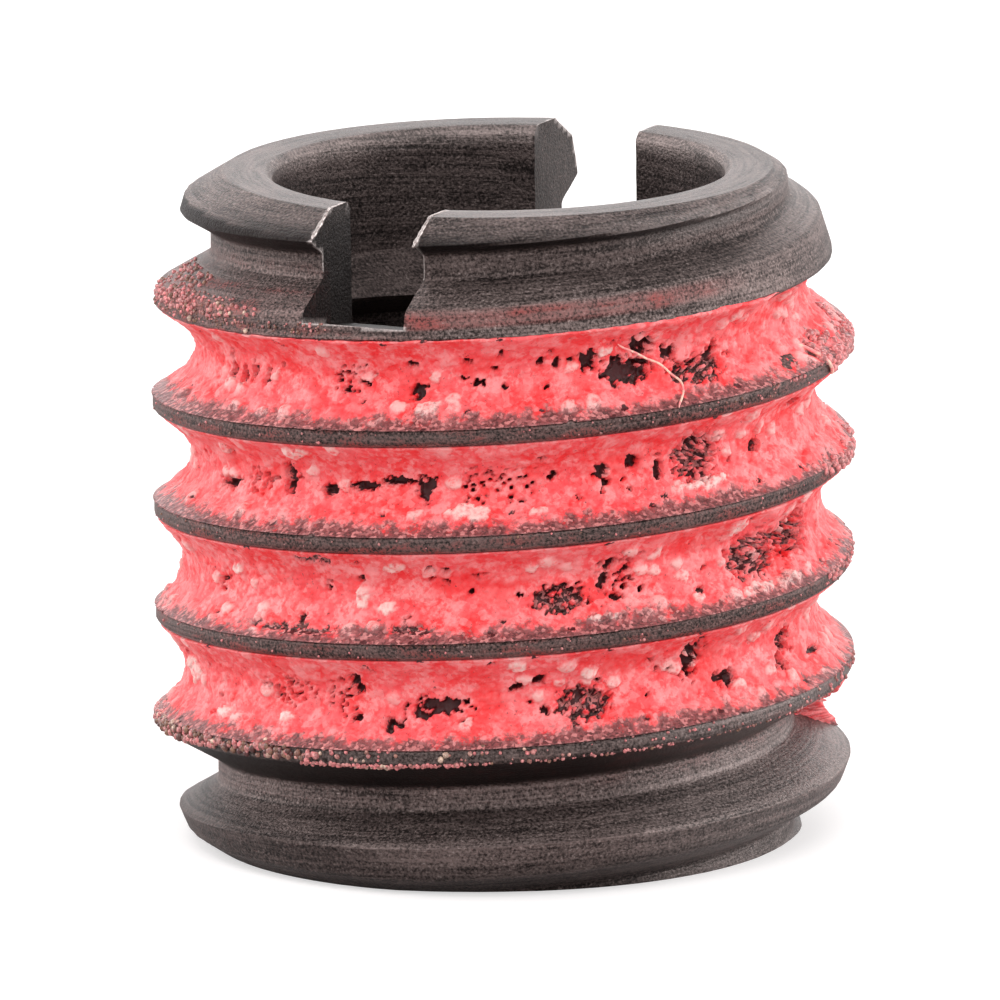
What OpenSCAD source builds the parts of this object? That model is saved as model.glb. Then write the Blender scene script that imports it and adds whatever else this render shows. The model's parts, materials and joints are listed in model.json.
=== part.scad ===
// Slotted threaded insert with dried thread-locking adhesive.
// A steel bush with a coarse right-hand thread outside, a hole drilled for a
// finer thread inside, a screwdriver slot across its top end and a coat of
// adhesive in the middle grooves. It stands on its bottom end: +Z is the axis.

/* [Overall] */
// Length of the insert from end face to end face
insert_length = 12.32; // [9.5:0.02:20]

/* [Outside thread] */
// Major diameter over the crests
outer_major_d = 12.7; // [12.2:0.05:13.2]
// Threads per inch
outer_tpi = 13; // [12:1:14]
// Diameter at the bottom of the grooves
outer_root_d = 10.5; // [10.3:0.05:10.8]
// Height of the first crest above the bottom face, at angle 0
outer_first_crest = 1.28; // [0.9:0.01:1.7]

/* [Thread leads] */
// Outer diameter of the flat ring on the top end
top_land_d = 9.96; // [9.6:0.02:10.2]
// Diameter where the top chamfer meets the long lead
top_shoulder_d = 11.44; // [11:0.02:11.8]
// Depth of the top chamfer
top_shoulder_depth = 0.44; // [0.3:0.02:0.7]
// Depth at which the top lead reaches the full thread
top_lead_depth = 2.54; // [1.2:0.02:3]
// Outer diameter of the bottom end face
bottom_land_d = 10.8; // [10.4:0.02:11.2]
// Diameter where the bottom chamfer meets the long lead
bottom_shoulder_d = 11.7; // [11.3:0.02:12]
// Height of the bottom chamfer
bottom_shoulder_height = 0.3; // [0.2:0.02:0.6]
// Height at which the bottom lead reaches the full thread
bottom_lead_height = 1.54; // [1:0.02:2]

/* [Hole] */
// Diameter of the plain counterbore under the top end
counterbore_d = 8.22; // [8.1:0.02:8.6]
// Depth of the plain counterbore
counterbore_depth = 2.18; // [1.9:0.02:3.4]
// Length of the cone between the counterbore and the threaded hole
cone_length = 0.76; // [0.4:0.02:1]
// Chamfer on the top inside edge
rim_chamfer = 0.14; // [0.06:0.02:0.24]
// Diameter of the hole, which is the minor diameter of its 5/16-18 thread
inner_minor_d = 6.56; // [6.4:0.02:6.7]
// Diameter of the chamfer at the foot of the hole
foot_mouth_d = 8.04; // [7.2:0.02:8.2]

/* [Screwdriver slot] */
// Width of the slot
slot_width = 2.02; // [1.4:0.02:2.4]
// Depth of the slot at the axis, below the top end
slot_depth = 2.53; // [1:0.01:2.8]
// Diameter of the saw that cuts the slot, whose floor is an arc
saw_d = 56; // [40:1:80]
// Direction in which the slot runs, from +X
slot_angle = 65; // [0:1:180]
// Distance of the slot's middle from the axis
slot_offset = 0.1; // [0:0.02:0.2]

/* [Adhesive coat] */
// Angle at which the coat starts, in the groove above the first crest
coat_start_angle = 345; // [300:5:360]
// Length of the coat along the groove, in turns
coat_turns = 4.15; // [2.5:0.05:4.15]
// Diameter over the coat at the middle of a groove
coat_root_d = 11.24; // [11.04:0.04:11.4]
// Distance that the coat stops below the crests
coat_edge_drop = 0.06; // [0.04:0.01:0.12]

/* [Fineness] */
// Flat sides in one turn of the outside thread
outer_sides = 60; // [36:6:60]
// Flat sides in one turn of the coat
coat_sides = 60; // [36:6:60]

/* [Hidden] */
$fn = 96;
inch = 25.4;
crest_share = 1 / 16;
flank = tan(60);
joint_gap = 0.02;
outer_pitch = inch / outer_tpi;
outer_r = outer_major_d / 2;
root_r = outer_root_d / 2;
minor_r = inner_minor_d / 2;
bore_r = counterbore_d / 2;
past = 0.3;
cone_top = insert_length - counterbore_depth;
cone_foot = cone_top - cone_length;
foot_chamfer = foot_mouth_d / 2 - minor_r;
top_run = (outer_r - top_shoulder_d / 2) / (top_lead_depth - top_shoulder_depth);
bottom_run = (outer_r - bottom_shoulder_d / 2) / (bottom_lead_height - bottom_shoulder_height);

// half heights of the outside thread's crest and of its groove floor
crest_half = outer_pitch * crest_share;
floor_half = outer_pitch / 2 - crest_half - (outer_r - root_r) / flank;

// One pitch of the thread as [radius, height] pairs, from the crest up
outer_profile = [
    [outer_r, -crest_half],
    [outer_r, crest_half],
    [root_r, outer_pitch / 2 - floor_half],
    [root_r, outer_pitch / 2 + floor_half]
];

// height of the groove flank that lies at radius r, from the groove's middle
function flank_height(r) = floor_half + (r - root_r) / flank;

// radius where the upper flank of a groove at height z runs out at the top lead
function top_edge(z) =
    (top_shoulder_d / 2 + top_run * (insert_length - top_shoulder_depth - z
        - floor_half + root_r / flank)) / (1 + top_run / flank);

// radius where the lower flank of a groove at height z runs out at the bottom lead
function bottom_edge(z) =
    (bottom_shoulder_d / 2 + bottom_run * (z - bottom_shoulder_height
        - floor_half + root_r / flank)) / (1 + bottom_run / flank);

coat_mid_r = coat_root_d / 2;
lip_rise = 0.03;
lip_inset = 0.09;
haunch_inset = 0.2;
floor_inset = 0.34;
haunch_share = 0.4;
tip_share = 0.2;
tip_turn = 1 / 8;
skin = joint_gap / sin(60);
foot_r = root_r + joint_gap;

// Section of the coat as [radius, height] pairs about the groove's middle, with
// its two edges at the radii low and high
function haunch(edge) = coat_mid_r + haunch_share * (edge - coat_mid_r);
function coat_inner(low, high) = [
    [low, -(flank_height(low) - skin)],
    [foot_r, -(flank_height(foot_r) - skin)],
    [foot_r, flank_height(foot_r) - skin],
    [high, flank_height(high) - skin]
];
function coat_outer(low, high) = [
    [high + lip_rise, flank_height(high) - lip_inset],
    [haunch(high), flank_height(haunch(high)) - haunch_inset],
    [coat_mid_r, flank_height(coat_mid_r) - floor_inset],
    [coat_mid_r, -(flank_height(coat_mid_r) - floor_inset)],
    [haunch(low), -(flank_height(haunch(low)) - haunch_inset)],
    [low + lip_rise, -(flank_height(low) - lip_inset)]
];

// A rod with a helical profile: the profile covers one pitch, first crest at
// height z0 and angle 0, and the rod has the given number of steps.
module threaded_rod(profile, pitch, z0, steps, sides) {
    m = len(profile);
    walls = [for (i = [0:steps], p = profile)
        [p[0] * cos(360 * i / sides), p[0] * sin(360 * i / sides), z0 + pitch * i / sides + p[1]]];
    low = len(walls);
    points = concat(walls, [[0, 0, z0 + pitch / 2], [0, 0, z0 + pitch * (steps / sides - 0.5)]]);
    bands = [for (i = [0:steps - 1], j = [0:m - 2])
        each [[i * m + j, i * m + j + 1, (i + 1) * m + j],
              [i * m + j + 1, (i + 1) * m + j + 1, (i + 1) * m + j]]];
    joins = [for (i = [0:steps - sides - 1])
        each [[i * m + m - 1, (i + sides) * m, (i + 1) * m + m - 1],
              [(i + sides) * m, (i + sides + 1) * m, (i + 1) * m + m - 1]]];
    foot_loop = concat([for (i = [0:sides]) i * m], [for (j = [m - 1:-1:1]) j]);
    head_loop = concat([for (i = [steps - sides:steps]) i * m + m - 1],
                       [for (j = [m - 2:-1:0]) steps * m + j]);
    foot = [for (k = [0:len(foot_loop) - 1])
        [low, foot_loop[k], foot_loop[(k + 1) % len(foot_loop)]]];
    head = [for (k = [0:len(head_loop) - 1])
        [low + 1, head_loop[(k + 1) % len(head_loop)], head_loop[k]]];
    polyhedron(points = points, faces = concat(bands, joins, foot, head));
}

// The coat, a closed section carried along the outside groove: thin at both
// ends, and with its edges below the crests where the leads thin them
module coat_strip(start, turns, z0) {
    steps = ceil(turns * coat_sides);
    a = 4;
    b = 6;
    m = a + b;
    function angle(i) = start + 360 * turns * i / steps;
    function middle(i) = z0 + outer_pitch * angle(i) / 360;
    function high(i) = min(outer_r, top_edge(middle(i))) - coat_edge_drop;
    function low(i) = min(outer_r, bottom_edge(middle(i))) - coat_edge_drop;
    function ease(i) =
        min(1, tip_share + (1 - tip_share) * min(i, steps - i) / (coat_sides * tip_turn));
    // the outer points close down to the steel side towards the tips
    function seat(inner, j) = inner[a - 1 - floor(j * (a - 1) / (b - 1) + 0.5)];
    function closed(inner, outer, share) = concat(inner,
        [for (j = [0:b - 1]) seat(inner, j) + share * (outer[j] - seat(inner, j))]);
    function ring(i) = closed(coat_inner(low(i), high(i)), coat_outer(low(i), high(i)), ease(i));
    points = [for (i = [0:steps], p = ring(i))
        [p[0] * cos(angle(i)), p[0] * sin(angle(i)), middle(i) + p[1]]];
    walls = [for (i = [0:steps - 1], j = [0:m - 1])
        let (k = (j + 1) % m)
        each [[i * m + j, (i + 1) * m + j, i * m + k],
              [i * m + k, (i + 1) * m + j, (i + 1) * m + k]]];
    lid = [for (j = [1:m - 2]) [0, j, j + 1]];
    tail = [for (j = [1:m - 2]) [steps * m, steps * m + j + 1, steps * m + j]];
    polyhedron(points = points, faces = concat(walls, lid, tail));
}

// Everything that turns about the axis: leads, chamfers and the hole
module turned_blank() {
    top_past = top_lead_depth + past / top_run;
    bottom_past = bottom_lead_height + past / bottom_run;
    rotate_extrude($fn = 96)
        polygon([
            [minor_r + foot_chamfer, 0],
            [bottom_land_d / 2, 0],
            [bottom_shoulder_d / 2, bottom_shoulder_height],
            [outer_r + past, bottom_past],
            [outer_r + past, insert_length - top_past],
            [top_shoulder_d / 2, insert_length - top_shoulder_depth],
            [top_land_d / 2, insert_length],
            [bore_r + rim_chamfer, insert_length],
            [bore_r, insert_length - rim_chamfer],
            [bore_r, cone_top],
            [minor_r, cone_foot],
            [minor_r, foot_chamfer]
        ]);
}

module outside_thread() {
    z0 = outer_first_crest - 2 * outer_pitch;
    steps = ceil(outer_sides * ((insert_length - z0) / outer_pitch + 0.6));
    threaded_rod(outer_profile, outer_pitch, z0, steps, outer_sides);
}

// The disc that the saw sweeps across the top end
module screwdriver_slot() {
    rotate([0, 0, slot_angle])
        translate([0, slot_offset + slot_width / 2, insert_length - slot_depth + saw_d / 2])
            rotate([90, 0, 0])
                cylinder(d = saw_d, h = slot_width, $fn = 180);
}

module insert_body() {
    color([0.2, 0.17, 0.16])
        difference() {
            intersection() {
                turned_blank();
                outside_thread();
            }
            screwdriver_slot();
        }
}

module thread_locker() {
    color([0.86, 0.25, 0.29])
        coat_strip(coat_start_angle, coat_turns, outer_first_crest - outer_pitch / 2);
}

insert_body();
thread_locker();
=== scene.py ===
import bmesh
import bpy
import json
import numpy as np
from mathutils import Matrix, Vector


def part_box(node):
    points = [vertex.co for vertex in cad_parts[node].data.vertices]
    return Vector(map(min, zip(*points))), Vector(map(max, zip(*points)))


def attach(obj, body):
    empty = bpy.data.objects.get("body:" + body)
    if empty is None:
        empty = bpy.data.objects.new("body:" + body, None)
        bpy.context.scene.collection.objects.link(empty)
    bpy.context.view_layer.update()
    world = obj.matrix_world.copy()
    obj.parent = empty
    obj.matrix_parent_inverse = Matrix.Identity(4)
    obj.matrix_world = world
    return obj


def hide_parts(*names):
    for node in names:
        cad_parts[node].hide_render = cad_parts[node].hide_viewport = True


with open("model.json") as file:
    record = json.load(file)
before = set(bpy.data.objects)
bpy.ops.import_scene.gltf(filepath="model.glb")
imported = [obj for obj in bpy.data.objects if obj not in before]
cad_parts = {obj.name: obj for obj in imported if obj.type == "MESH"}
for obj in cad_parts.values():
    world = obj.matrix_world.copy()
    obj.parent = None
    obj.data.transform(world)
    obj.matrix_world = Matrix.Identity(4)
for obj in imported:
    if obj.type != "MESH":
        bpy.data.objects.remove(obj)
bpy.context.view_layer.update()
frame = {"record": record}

# Sizes, in millimetres and degrees. +Z is the axis, and the photograph looks along +Y.
MM = 0.001
sizes = {m["name"]: m["dims"] for m in frame["record"]["mounts"]}
body_low, body_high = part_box("insert_body")
LENGTH = (body_high[2] - body_low[2]) / MM
CREST_R = sizes["outside_thread"]["r_mm"]
BORE_R = sizes["counterbore"]["r_mm"]
MINOR_R = sizes["inside_thread"]["r_mm"]

# Outside thread
PITCH = 25.4 / 13
FIRST_CREST = 1.28
ROOT_R = 5.25
CREST_HALF = PITCH / 16
FLANK = np.tan(np.radians(60))
FLOOR_HALF = PITCH / 2 - CREST_HALF - (CREST_R - ROOT_R) / FLANK

# Leads at both ends, as (distance from the end face, radius)
TOP_LEAD = [(0, 4.98), (0.44, 5.72), (2.54, 6.35), (3.54, 6.65)]
BOTTOM_LEAD = [(0, 5.40), (0.30, 5.85), (1.54, 6.35), (2.54, 6.75)]

# Hole, as (height, radius) from the bottom face up, and its thread
RIM_CHAMFER = 0.14
CONE_TOP = LENGTH - 2.18
CONE_FOOT = CONE_TOP - 0.76
FOOT_MOUTH_R = 4.02
INNER_PITCH = 25.4 / 18
INNER_MAJOR_R = 3.97

# Screwdriver slot
SLOT_WIDTH = 2.02
SLOT_DEPTH = 2.53
SAW_R = 28
SLOT_ANGLE = 65
SLOT_OFFSET = 0.1

# Adhesive coat, whose angle goes on counting from turn to turn
COAT_START = 345
COAT_END = COAT_START + 360 * 4.15
COAT_R = 5.8
GROOVE_HALF = FLOOR_HALF + (CREST_R - ROOT_R) / FLANK
COAT_HOLLOW_R = 5.60
COAT_CUTS = [COAT_START, 810, 1170, 1530, COAT_END]
# Where the hollow is fuller or leaner, as (turn angle, change of its radius)
COAT_SWELL = [
    (400, 0), (500, 0.14), (560, 0.22), (650, 0.04), (720, -0.18), (800, 0), (905, 0.22), (990, 0.04),
    (1080, -0.08), (1180, 0), (1340, 0), (1440, -0.12), (1540, 0), (1625, -0.08), (1700, 0.02),
    (1780, -0.26), (1839, -0.30),
]
# How far up the groove the coat begins at its start, as (turn angle, share of the groove)
COAT_START_EDGE = [(345, 0.9), (352, 0.5), (360, 0.15), (368, -0.5), (378, -1.2)]
# The coat's back inside the steel, as (rise above the groove's middle, radius)
COAT_BACK = [(0.62, 5.2), (0.25, 4.6), (-0.25, 4.6), (-0.62, 5.2)]

# Fineness of the meshes
STEEL_COLUMNS = 349
STEEL_SEAM = 100
COAT_ROWS = 70
BALL_ROWS, BALL_COLUMNS = 6, 8
TUBE_SIDES, TUBE_FINER = 8, 6

# Burrs at the slot, from one radius out to the other
BURR_REACH = (4.30, 5.76)

# Camera of the photograph
CAMERA_DISTANCE = 400
CAMERA_RISE = 11.4
CAMERA_ROLL = 0.73
CAMERA_TARGET = (-0.05, 0, 6.15)
PIXELS_PER_MM = 54.9
PICTURE_WIDTH = 1000
SENSOR_WIDTH = 36

# Soft lamps, as azimuth and rise in degrees and power in watts
LAMPS = {
    "left_lamp": (-108, 22, 0.50),
    "right_lamp": (100, 14, 0.56),
    "back_lamp": (180, 26, 0.30),
    "front_lamp": (0, 42, 0.42),
}
LAMP_DISTANCE = 0.30
LAMP_SIZE = 0.20
SURROUND_LIGHT = 0.70
FLOOR_HALF_WIDTH = 0.9

# Colours, as the surface's own, but for the black of painted shade
STEEL = (0.075, 0.058, 0.054, 1)
STEEL_LIGHT = (0.225, 0.170, 0.160, 1)
STEEL_DARK = (0.018, 0.013, 0.012, 1)
# Black for painted shade on the steel
PAINTED_SHADE_BLACK = (0.006, 0.004, 0.004, 1)
STEEL_BRIGHT = (0.62, 0.55, 0.53, 1)
GLINT = (0.42, 0.36, 0.34, 1)
STAIN = (0.300, 0.060, 0.055, 1)
PINK = (0.91, 0.068, 0.080, 1)
PALE = (0.93, 0.285, 0.290, 1)
CHALK = (0.90, 0.600, 0.560, 1)
RED = (0.88, 0.018, 0.022, 1)
MAROON = (0.060, 0.004, 0.006, 1)
FILM = (0.270, 0.074, 0.076, 1)
FILM_DARK = (0.085, 0.024, 0.024, 1)
FILM_LIGHT = (0.740, 0.290, 0.280, 1)
TAN = (0.280, 0.150, 0.095, 1)
IVORY = (0.88, 0.640, 0.500, 1)
WHITE = (1, 1, 1, 1)
WARM_WHITE = (1, 0.97, 0.96, 1)
FLOOR_GREY = (0.64, 0.62, 0.62, 1)

# Noise and blends. Noise repeats after TILE cells, and FAR is farther than any cell or mark.
TILE = 256
FAR = 9.0


def ease(low, high, x):
    """0 below low, 1 above high, and a smooth S between them; low may be the larger."""
    t = np.clip((x - low) / (high - low), 0, 1)
    return t * t * (3 - 2 * t)


def soft_min(a, b, width):
    """The smaller of a and b, with a rounded corner of that width where they cross."""
    h = np.clip(0.5 + 0.5 * (b - a) / width, 0, 1)
    return b + (a - b) * h - width * h * (1 - h)


def waves(x, y, seed):
    """Gradient noise about 0: a random slope at each whole-number point, joined by an eased blend."""
    turn = np.random.default_rng(seed).random((TILE, TILE)) * 2 * np.pi
    slope_x, slope_y = np.cos(turn), np.sin(turn)
    ix, iy = np.floor(x).astype(int), np.floor(y).astype(int)
    fx, fy = x - ix, y - iy

    def corner(i, j):
        at = (ix + i) % TILE, (iy + j) % TILE
        return slope_x[at] * (fx - i) + slope_y[at] * (fy - j)

    sx, sy = ease(0, 1, fx), ease(0, 1, fy)
    low = corner(0, 0) * (1 - sx) + corner(1, 0) * sx
    high = corner(0, 1) * (1 - sx) + corner(1, 1) * sx
    return 1.4 * (low * (1 - sy) + high * sy)


def rough(x, y, size, seed, octaves=3):
    """Layers of gradient noise, each half as large and half as high as the last, about 0."""
    total = 0
    for k in range(octaves):
        scale = 2 ** k / size
        total = total + waves(x * scale + 17.3 * k, y * scale - 9.1 * k, seed + k) / 2 ** k
    return total


def grains(x, y, size, seed):
    """Scattered cells: the distance to the nearest centre in cell sizes, and that cell's own chance."""
    rng = np.random.default_rng(seed)
    jitter_x, jitter_y, chance = rng.random((3, TILE, TILE))
    u, v = x / size, y / size
    ix, iy = np.floor(u).astype(int), np.floor(v).astype(int)
    near = np.full(u.shape, FAR)
    own = np.zeros(u.shape)
    for i in (-1, 0, 1):
        for j in (-1, 0, 1):
            at = (ix + i) % TILE, (iy + j) % TILE
            away = np.hypot(ix + i + jitter_x[at] - u, iy + j + jitter_y[at] - v)
            own = np.where(away < near, chance[at], own)
            near = np.minimum(near, away)
    return near, own


# Meshes

def grid_triangles(rows, columns):
    """Two triangles for each cell of a grid of points, turned from row to row and column to column."""
    i, j = np.meshgrid(np.arange(rows - 1), np.arange(columns - 1), indexing="ij")
    a = (i * columns + j).ravel()
    b, c, d = a + 1, a + columns + 1, a + columns
    return np.concatenate([np.stack([a, b, c], 1), np.stack([a, c, d], 1)])


def welded(points, triangles, grip):
    """Points closer than grip become one, and the triangles that this flattens are dropped. The last
    result says which of the first points were kept."""
    keys = np.round(points / grip).astype(np.int64)
    _, kept, where = np.unique(keys, axis=0, return_index=True, return_inverse=True)
    triangles = where.reshape(-1)[triangles]
    a, b, c = triangles.T
    return points[kept], triangles[(a != b) & (b != c) & (a != c)], kept


def mesh_object(name, points, triangles, smooth=True):
    """A mesh object from points in millimetres and triangles that index them."""
    mesh = bpy.data.meshes.new(name)
    mesh.vertices.add(len(points))
    mesh.vertices.foreach_set("co", (points * MM).astype(np.float32).ravel())
    mesh.loops.add(3 * len(triangles))
    mesh.loops.foreach_set("vertex_index", triangles.astype(np.int32).ravel())
    mesh.polygons.add(len(triangles))
    mesh.polygons.foreach_set("loop_start", np.arange(0, 3 * len(triangles), 3, dtype=np.int32))
    mesh.polygons.foreach_set("use_smooth", np.broadcast_to(smooth, len(triangles)))
    mesh.update(calc_edges=True)
    mesh.validate()
    made = bpy.data.objects.new(name, mesh)
    bpy.context.scene.collection.objects.link(made)
    return made


def read(items, name, width, kind=np.float32):
    """One property of every item of a mesh, as an array with that many numbers in a row."""
    values = np.empty(width * len(items), kind)
    items.foreach_get(name, values)
    return values.reshape(-1, width)


def mesh_points(made):
    """The mesh's points in millimetres."""
    return read(made.data.vertices, "co", 3).astype(float) / MM


def worked(made, operation):
    """Runs one bmesh operation over all the faces of a mesh."""
    work = bmesh.new()
    work.from_mesh(made.data)
    operation(work, faces=work.faces)
    work.to_mesh(made.data)
    work.free()


def face_outward(made):
    """Turns every face of a closed mesh outwards."""
    worked(made, bmesh.ops.recalc_face_normals)


def set_mask(made, name, values):
    """Keeps one number from 0 to 1 for each point, for a material to read."""
    layer = made.data.attributes.new(name, "FLOAT", "POINT")
    layer.data.foreach_set("value", np.clip(values, 0, 1).astype(np.float32).ravel())


def dress(made, materials, nodes):
    """Gives a finished piece its materials, its ride and the solids that it stands for."""
    for material in materials:
        made.data.materials.append(material)
    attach(made, "root")
    if nodes:
        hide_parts(*nodes)


# Steel shapes. Edges sharper than SHARP_FROM are shaded as corners, and past the next angle are painted
# bright, as wear and painted highlight.
SHARP_FROM = 50
WEAR_AND_HIGHLIGHT_FROM = 38


def lead_radius(height):
    """Radius of the cones and chamfers at both ends, which is past the crests in between."""
    top = np.interp(LENGTH - height, *np.transpose(TOP_LEAD))
    bottom = np.interp(height, *np.transpose(BOTTOM_LEAD))
    return soft_min(top, bottom, 0.05)


def slot_floor(along):
    """Height of the slot's floor, the arc that the saw leaves, at a place along the slot."""
    return LENGTH - SLOT_DEPTH + SAW_R - np.sqrt(SAW_R ** 2 - along ** 2)


def thread_radius(angle, height):
    """Outside radius: the thread's crest, flanks and floor by the height from the nearest crest,
    cut by the cones of both leads, with every corner slightly rounded."""
    from_crest = height - FIRST_CREST - PITCH * angle / 360
    from_crest = np.abs((from_crest + PITCH / 2) % PITCH - PITCH / 2)
    flank = CREST_R - (from_crest - CREST_HALF) * FLANK
    radius = -soft_min(-soft_min(flank, CREST_R, 0.06), -ROOT_R, 0.10)
    return soft_min(radius, lead_radius(height), 0.05)


def hole_radius(angle, height):
    """Radius of the hole: the foot chamfer, the bore, the cone and the inside thread's grooves."""
    plain = np.interp(height, [0, FOOT_MOUTH_R - MINOR_R, CONE_FOOT, CONE_TOP],
                      [FOOT_MOUTH_R, MINOR_R, MINOR_R, BORE_R])
    from_groove = height - INNER_PITCH * angle / 360
    from_groove = np.abs((from_groove + INNER_PITCH / 2) % INNER_PITCH - INNER_PITCH / 2)
    groove = INNER_MAJOR_R - np.maximum(from_groove - INNER_PITCH / 16, 0) * FLANK
    return -soft_min(-plain, -groove, 0.03)


def pitch_rows(flank_steps, floor_steps):
    """Heights over one pitch, from one groove's middle to the next, closer together at the corners."""
    edge = CREST_HALF
    foot = PITCH / 2 - FLOOR_HALF
    half = np.concatenate([
        [edge / 3, edge - 0.025, edge + 0.02],
        np.linspace(edge + 0.05, foot - 0.05, flank_steps),
        [foot - 0.015, foot + 0.03],
        np.linspace(foot + 0.07, PITCH / 2, floor_steps, endpoint=False),
    ])
    return np.concatenate([-half[::-1], half])


def steel_points():
    """One closed surface on a grid: up the outside along the thread's helix, over the top ring,
    down the counterbore, cone and inside thread, and out across the bottom face."""
    angle = np.radians(STEEL_SEAM + np.linspace(0, 360, STEEL_COLUMNS))[None, :]
    degrees = np.degrees(angle)
    fine, plain = pitch_rows(10, 2), pitch_rows(4, 1)
    rows = [FIRST_CREST + PITCH * k + (fine if k in (-2, -1, 0, 4, 5) else plain) for k in range(-2, 6)]
    outside_z = np.concatenate([[-9], *rows, [LENGTH + 9]])[:, None] + PITCH * degrees / 360
    outside_z = np.clip(outside_z, 0, LENGTH)
    outside_r = thread_radius(degrees, outside_z)
    outside_r = outside_r + 0.008 * rough(angle * 14, outside_z * 2, 1, 5)

    def ring(share):
        return np.asarray(share, float)[:, None]

    rim_r = BORE_R + RIM_CHAMFER
    land_r = outside_r[-1:] + (rim_r - outside_r[-1:]) * ring([0.03, 0.3, 0.6, 0.97])
    land_z = np.full_like(land_r, LENGTH)
    chamfer = ring([0.08, 0.5, 0.92])
    wall_z = ring(np.linspace(LENGTH - RIM_CHAMFER - 0.02, CONE_TOP + 0.02, 9)) + 0 * angle
    rim_z = LENGTH - RIM_CHAMFER * chamfer + 0 * angle
    rim_wall_r = rim_r - RIM_CHAMFER * chamfer + 0 * angle
    hole_z = np.arange(CONE_TOP + 0.05, -INNER_PITCH * 460 / 360 - 0.1, -INNER_PITCH / 10)[:, None]
    hole_z = np.clip(hole_z + INNER_PITCH * (degrees - STEEL_SEAM) / 360, 0, CONE_TOP)
    hole_r = hole_radius(degrees, hole_z)
    foot_r = hole_r[-1:] + (outside_r[:1] - hole_r[-1:]) * ring([0.03, 0.35, 0.65, 0.97])
    radius = np.vstack([outside_r, land_r, rim_wall_r, BORE_R + 0 * wall_z, hole_r, foot_r, outside_r[:1]])
    height = np.vstack([outside_z, land_z, rim_z, wall_z, hole_z, 0 * foot_r, outside_z[:1]])
    points = np.stack([radius * np.cos(angle), radius * np.sin(angle), height], -1)
    return points.reshape(-1, 3), grid_triangles(*radius.shape)


def slot_points():
    """The slot's cutter: a square loop of points carried along the slot, with walls that waver."""
    along = np.arange(-7.5, 7.51, 0.1)
    across = np.linspace(-1, 1, 15)
    rise = np.linspace(0, 1, 20)[1:-1]
    loop_x = np.concatenate([across, 1 + 0 * rise, across[::-1], -1 + 0 * rise]) * SLOT_WIDTH / 2
    share = np.concatenate([0 * across, rise, 1 + 0 * across, rise[::-1]])
    x, turn = np.meshgrid(along, np.arange(len(loop_x)), indexing="ij")
    waver = 1 + 0.012 * rough(x, turn * 0.1, 0.5, 41)
    y = SLOT_OFFSET + loop_x[None, :] * waver
    floor = slot_floor(x)
    z = floor + share[None, :] * (LENGTH + 0.4 - floor) + 0.012 * rough(x, turn * 0.1, 0.4, 43)
    lean = np.radians(SLOT_ANGLE)
    points = np.stack([x * np.cos(lean) - y * np.sin(lean), x * np.sin(lean) + y * np.cos(lean), z], -1)
    return closed_tube(points)


def closed_tube(rings, hubs=None):
    """A closed skin over rings of points: walls from ring to ring, and a fan over each end, around
    the ring's middle or the hub that is given."""
    hubs = [rings[0].mean(0), rings[-1].mean(0)] if hubs is None else hubs
    count, around, _ = rings.shape
    looped = np.concatenate([rings, rings[:, :1]], 1)
    triangles = grid_triangles(count, around + 1)
    column, row = triangles % (around + 1), triangles // (around + 1)
    triangles = row * around + column % around
    step = np.arange(around)
    ahead = (step + 1) % around
    middle = len(rings) * around
    first = np.stack([middle + 0 * step, ahead, step], 1)
    last = np.stack([middle + 1 + 0 * step, (count - 1) * around + step, (count - 1) * around + ahead], 1)
    points = np.concatenate([rings.reshape(-1, 3), hubs])
    return points, np.concatenate([triangles, first, last])


def corner_mask(made, least):
    """1 at the points of every edge that is sharper than that angle in degrees, 0 elsewhere."""
    mesh = made.data
    normals = read(mesh.polygons, "normal", 3)
    corner_edge = read(mesh.loops, "edge_index", 1, np.int32)[:, 0]
    order = np.argsort(corner_edge, kind="stable")
    edge, face = corner_edge[order], order // 3
    pair = np.flatnonzero(edge[1:] == edge[:-1])
    bend = np.sum(normals[face[pair]] * normals[face[pair + 1]], 1)
    sharp = edge[pair][bend < np.cos(np.radians(least))]
    mask = np.zeros(len(mesh.vertices))
    mask[read(mesh.edges, "vertices", 2, np.int32)[sharp].ravel()] = 1
    return mask


def make_steel(materials):
    """The turned and threaded body, cut by the slot."""
    points, triangles, _ = welded(*steel_points(), 1e-4)
    body = mesh_object("steel_body", points, triangles)
    face_outward(body)
    cutter = mesh_object("slot_cutter", *slot_points())
    face_outward(cutter)
    cut = body.modifiers.new("slot", "BOOLEAN")
    cut.operation = "DIFFERENCE"
    cut.solver = "EXACT"
    cut.object = cutter
    seen = body.evaluated_get(bpy.context.evaluated_depsgraph_get())
    body.data = bpy.data.meshes.new_from_object(seen)
    body.modifiers.clear()
    bpy.data.objects.remove(cutter)
    worked(body, bmesh.ops.triangulate)
    points = mesh_points(body)
    angle = np.degrees(np.arctan2(points[:, 1], points[:, 0])) % 360
    radius = np.hypot(points[:, 0], points[:, 1])
    for paint in (paint_adhesive_marks, paint_shade, paint_wear_light_and_shade):
        paint(body, points, angle, radius)
    dress(body, materials, ["insert_body"])
    mark_slot_faces(body, points)
    body.data.set_sharp_from_angle(angle=np.radians(SHARP_FROM))


def slot_frame(points):
    """Places in the slot's own directions: along it, and across it from its middle."""
    lean = np.radians(SLOT_ANGLE)
    along = points[..., 0] * np.cos(lean) + points[..., 1] * np.sin(lean)
    across = points[..., 1] * np.cos(lean) - points[..., 0] * np.sin(lean) - SLOT_OFFSET
    return along, across


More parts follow.
